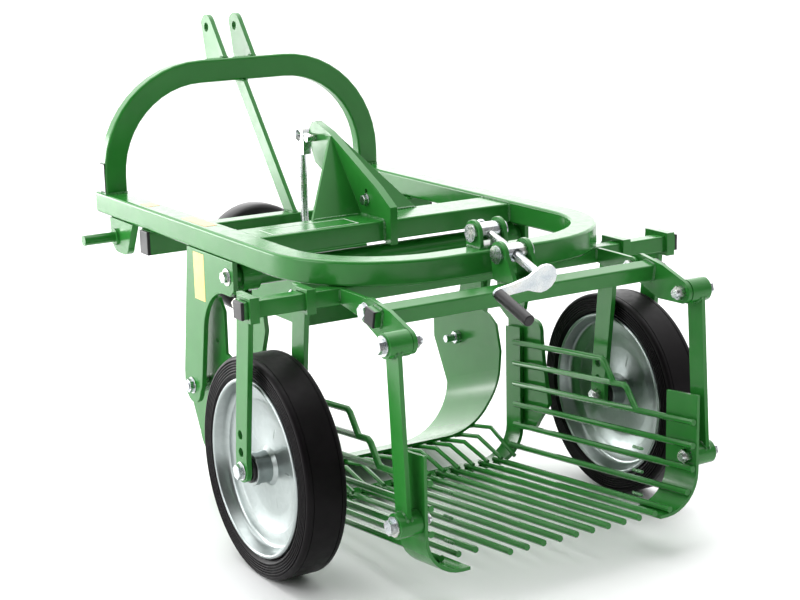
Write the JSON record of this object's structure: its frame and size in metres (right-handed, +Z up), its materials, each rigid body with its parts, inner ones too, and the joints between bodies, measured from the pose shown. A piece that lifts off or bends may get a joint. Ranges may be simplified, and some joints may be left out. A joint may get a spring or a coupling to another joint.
{
  "type": "potato digger",
  "caption": "Potato digger for a small tractor: three-point frame, curved share, rod sieve hung on rockers, depth wheels and a crank screw",
  "frame": {"origin": "on the ground, under the centre of the machine's bounding box", "axes": "+X to the machine's right, +Y forwards to the tractor, +Z up"},
  "size_m": [0.944, 1.3188, 0.9218],
  "materials": {
    "green_paint": "gloss apple-green powder coat",
    "zinc": "bright zinc plate",
    "galvanised": "galvanised pressed sheet",
    "rubber": "solid black rubber",
    "black_plastic": "black moulded plastic"
  },
  "bodies": {
    "chassis": {"main_frame": "green_paint", "hitch_hoop": "green_paint", "hoop_strut": "green_paint", "front_beam": "green_paint", "rear_beam": "green_paint", "tower": "green_paint", "tower_link": "zinc", "gearbox": "green_paint", "pto_guard": "black_plastic", "cross_tube": "green_paint", "share": "green_paint", "wheel_beam": "green_paint", "screw_clevis_front": "green_paint", "screw_trunnion_front": "zinc", "depth_screw": "zinc", "crank_grip": "black_plastic", "top_link_ear_left": "green_paint", "top_link_ear_right": "green_paint", "lower_link_bracket_left": "green_paint", "lower_link_bracket_right": "green_paint", "side_plate_left": "green_paint", "side_plate_right": "green_paint", "share_bolt_left": "zinc", "share_bolt_right": "zinc", "wheel_leg_inner_left": "green_paint", "wheel_leg_inner_right": "green_paint", "wheel_leg_outer_left": "green_paint", "wheel_leg_outer_right": "green_paint", "axle_bolt_left": "zinc", "axle_bolt_right": "zinc", "cradle_lug_left": "green_paint", "cradle_lug_right": "green_paint", "cradle_pin_left": "zinc", "cradle_pin_right": "zinc"},
    "wheel_left": {"tyre_left": "rubber", "wheel_disc_left": "galvanised"},
    "wheel_right": {"tyre_right": "rubber", "wheel_disc_right": "galvanised"},
    "pto_shaft": {"pto_shaft": "zinc"},
    "sieve": {"sieve_basket": "green_paint", "sieve_arm_left": "green_paint", "sieve_arm_right": "green_paint", "sieve_bracket_left": "green_paint", "sieve_bracket_right": "green_paint", "rocker_bottom_pin_left": "zinc", "rocker_bottom_pin_right": "zinc"},
    "cradle": {"cradle_tube": "green_paint", "screw_clevis_rear": "green_paint", "screw_trunnion_rear": "zinc", "cradle_plate_left": "green_paint", "cradle_plate_right": "green_paint", "rocker_top_pin_left": "zinc", "rocker_top_pin_right": "zinc"},
    "rocker_left": {"rocker_left": "green_paint"},
    "rocker_right": {"rocker_right": "green_paint"}
  },
  "joints": [
    {"name": "wheel_left_spin", "type": "hinge", "parent": "chassis", "child": "wheel_left", "pos_m": [-0.3905, -0.2959, 0.2], "axis": [1, 0, 0], "continuous": true},
    {"name": "wheel_right_spin", "type": "hinge", "parent": "chassis", "child": "wheel_right", "pos_m": [0.3905, -0.2959, 0.2], "axis": [1, 0, 0], "continuous": true},
    {"name": "pto_spin", "type": "hinge", "parent": "chassis", "child": "pto_shaft", "pos_m": [0, 0.4441, 0.385], "axis": [0, 1, 0], "continuous": true},
    {"name": "cradle_tilt", "type": "hinge", "parent": "chassis", "child": "cradle", "pos_m": [0, -0.4679, 0.497], "axis": [1, 0, 0], "range_deg": [-6, 6]},
    {"name": "sieve_swing", "type": "hinge", "parent": "chassis", "child": "sieve", "pos_m": [0, -0.0279, 0.482], "axis": [1, 0, 0], "range_deg": [-1.6, 1.6]},
    {"name": "rocker_left_swing", "type": "hinge", "parent": "cradle", "child": "rocker_left", "pos_m": [-0.315, -0.5979, 0.472], "axis": [1, 0, 0], "range_deg": [-5.5, 5.5]},
    {"name": "rocker_right_swing", "type": "hinge", "parent": "cradle", "child": "rocker_right", "pos_m": [0.315, -0.5979, 0.472], "axis": [1, 0, 0], "range_deg": [-5.5, 5.5]}
  ],
  "couplings": [
    {"joint": "sieve_swing", "follows": "cradle_tilt", "ratio": 0.22524},
    {"joint": "rocker_left_swing", "follows": "cradle_tilt", "ratio": -0.85054},
    {"joint": "rocker_right_swing", "follows": "cradle_tilt", "ratio": -0.85054}
  ]
}
